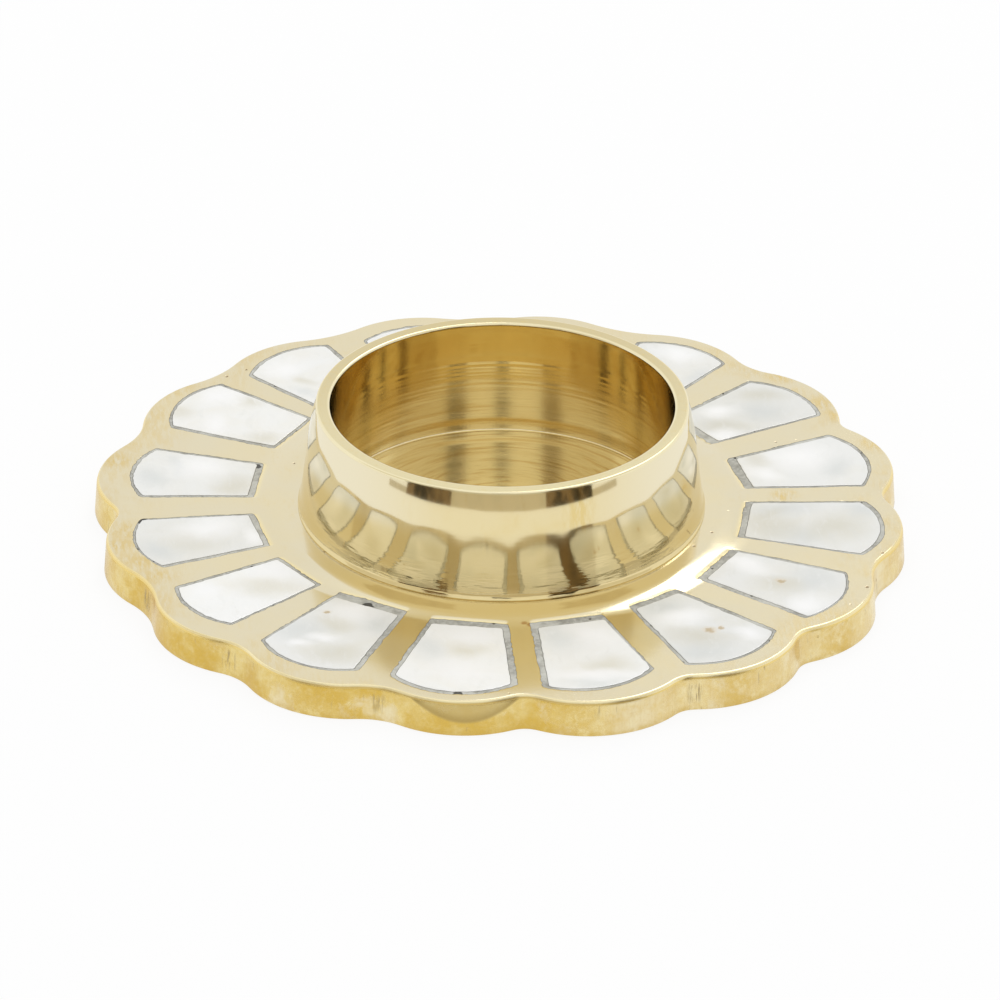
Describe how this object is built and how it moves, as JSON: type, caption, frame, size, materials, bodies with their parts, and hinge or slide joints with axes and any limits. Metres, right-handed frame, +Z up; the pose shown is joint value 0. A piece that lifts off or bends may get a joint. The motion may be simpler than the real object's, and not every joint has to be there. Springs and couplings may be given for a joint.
{
  "type": "tea-light holder",
  "caption": "Flower-shaped cast brass tea-light holder: a flat scalloped dish inlaid with mother-of-pearl petals, with a plain turned cup in the middle.",
  "frame": {"origin": "on the cup's axis, at the flat underside of the dish", "axes": "+Z up along the cup's axis, out of its mouth; a hollow between two lobes of the rim lies along -Y"},
  "size_m": [0.0941, 0.0953, 0.0175],
  "materials": {
    "cast_brass": "polished",
    "turned_brass": "polished",
    "shell": "gloss",
    "paste": "matte"
  },
  "bodies": {
    "root": {"dish": "cast_brass", "cup": "turned_brass", "filler_01": "paste", "filler_02": "paste", "filler_03": "paste", "filler_04": "paste", "filler_05": "paste", "filler_06": "paste", "filler_07": "paste", "filler_08": "paste", "filler_09": "paste", "filler_10": "paste", "filler_11": "paste", "filler_12": "paste", "filler_13": "paste", "filler_14": "paste", "filler_15": "paste", "filler_16": "paste", "petal_01": "shell", "petal_02": "shell", "petal_03": "shell", "petal_04": "shell", "petal_05": "shell", "petal_06": "shell", "petal_07": "shell", "petal_08": "shell", "petal_09": "shell", "petal_10": "shell", "petal_11": "shell", "petal_12": "shell", "petal_13": "shell", "petal_14": "shell", "petal_15": "shell", "petal_16": "shell"}
  },
  "joints": []
}
